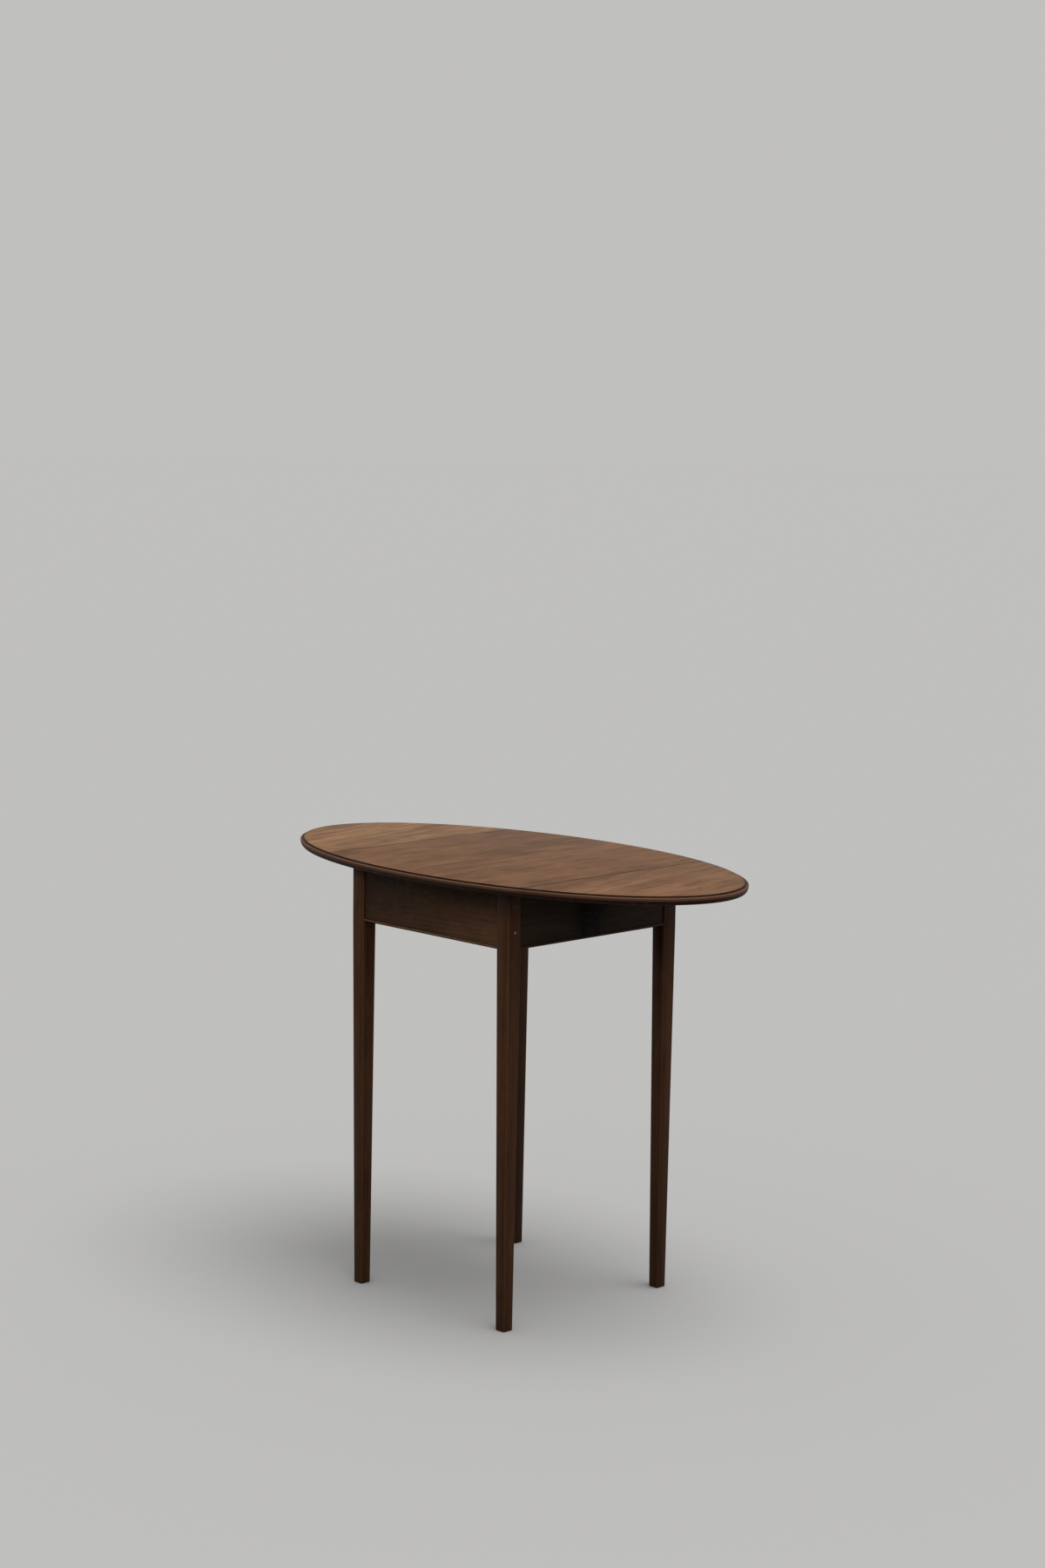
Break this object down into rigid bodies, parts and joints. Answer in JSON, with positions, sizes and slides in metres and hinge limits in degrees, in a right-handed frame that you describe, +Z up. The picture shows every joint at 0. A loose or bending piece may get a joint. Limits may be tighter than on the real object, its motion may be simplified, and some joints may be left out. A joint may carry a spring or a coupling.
{
  "type": "butterfly table",
  "caption": "Small oval drop-leaf wooden side table; leaves fold down on rule joints and are held up by swinging wooden brackets on a frame with tapered legs.",
  "frame": {"origin": "on the floor under the middle of the oval top", "axes": "+Z up, +X across the leaves along the oval's long axis, +Y along the hinge lines"},
  "size_m": [0.9, 0.473, 0.7],
  "materials": {
    "centre_board_wood": "worn oil",
    "leaf_wood": "worn oil",
    "leg_wood": "worn wax",
    "apron_wood": "worn wax",
    "bead_wood": "worn wax",
    "inner_wood": "bare",
    "bracket_wood": "dark, bare",
    "peg_wood": "bare",
    "hinge_iron": "dark",
    "pin_steel": "dull"
  },
  "bodies": {
    "frame": {"centre_board": "centre_board_wood", "right_front_hinge_fixed_flap": "hinge_iron", "right_front_hinge_pin": "pin_steel", "right_front_leg": "leg_wood", "right_front_upper_peg": "peg_wood", "right_front_lower_peg": "peg_wood", "right_back_hinge_fixed_flap": "hinge_iron", "right_back_hinge_pin": "pin_steel", "right_back_leg": "leg_wood", "right_back_upper_peg": "peg_wood", "right_back_lower_peg": "peg_wood", "right_fly_rail": "apron_wood", "right_side_panel": "apron_wood", "right_inner_rail": "inner_wood", "right_bead": "bead_wood", "right_knuckle_pin": "pin_steel", "front_apron": "apron_wood", "front_bead": "bead_wood", "front_glue_block_1": "inner_wood", "front_glue_block_2": "inner_wood", "left_back_hinge_fixed_flap": "hinge_iron", "left_back_hinge_pin": "pin_steel", "left_back_leg": "leg_wood", "left_back_upper_peg": "peg_wood", "left_back_lower_peg": "peg_wood", "left_front_hinge_fixed_flap": "hinge_iron", "left_front_hinge_pin": "pin_steel", "left_front_leg": "leg_wood", "left_front_upper_peg": "peg_wood", "left_front_lower_peg": "peg_wood", "left_fly_rail": "apron_wood", "left_side_panel": "apron_wood", "left_inner_rail": "inner_wood", "left_bead": "bead_wood", "left_knuckle_pin": "pin_steel", "back_apron": "apron_wood", "back_bead": "bead_wood", "back_glue_block_1": "inner_wood", "back_glue_block_2": "inner_wood"},
    "right_leaf_body": {"right_leaf": "leaf_wood", "right_stop_block": "inner_wood", "right_front_hinge_leaf_flap": "hinge_iron", "right_back_hinge_leaf_flap": "hinge_iron"},
    "left_leaf_body": {"left_leaf": "leaf_wood", "left_stop_block": "inner_wood", "left_back_hinge_leaf_flap": "hinge_iron", "left_front_hinge_leaf_flap": "hinge_iron"},
    "right_bracket_body": {"right_fly_bracket": "bracket_wood"},
    "left_bracket_body": {"left_fly_bracket": "bracket_wood"}
  },
  "joints": [
    {"name": "right_leaf_drop", "type": "hinge", "parent": "frame", "child": "right_leaf_body", "pos_m": [0.2193, 0, 0.6895], "axis": [0, 1, 0], "range_deg": [0, 90]},
    {"name": "left_leaf_drop", "type": "hinge", "parent": "frame", "child": "left_leaf_body", "pos_m": [-0.2193, 0, 0.6895], "axis": [0, -1, 0], "range_deg": [0, 90]},
    {"name": "right_bracket_swing", "type": "hinge", "parent": "frame", "child": "right_bracket_body", "pos_m": [0.171, -0.014, 0.635], "axis": [0, 0, 1], "range_deg": [0, 90]},
    {"name": "left_bracket_swing", "type": "hinge", "parent": "frame", "child": "left_bracket_body", "pos_m": [-0.171, 0.014, 0.635], "axis": [0, 0, 1], "range_deg": [0, 90]}
  ],
  "couplings": [
    {"joint": "right_bracket_swing", "follows": "right_leaf_drop", "ratio": 1},
    {"joint": "left_bracket_swing", "follows": "left_leaf_drop", "ratio": 1}
  ]
}
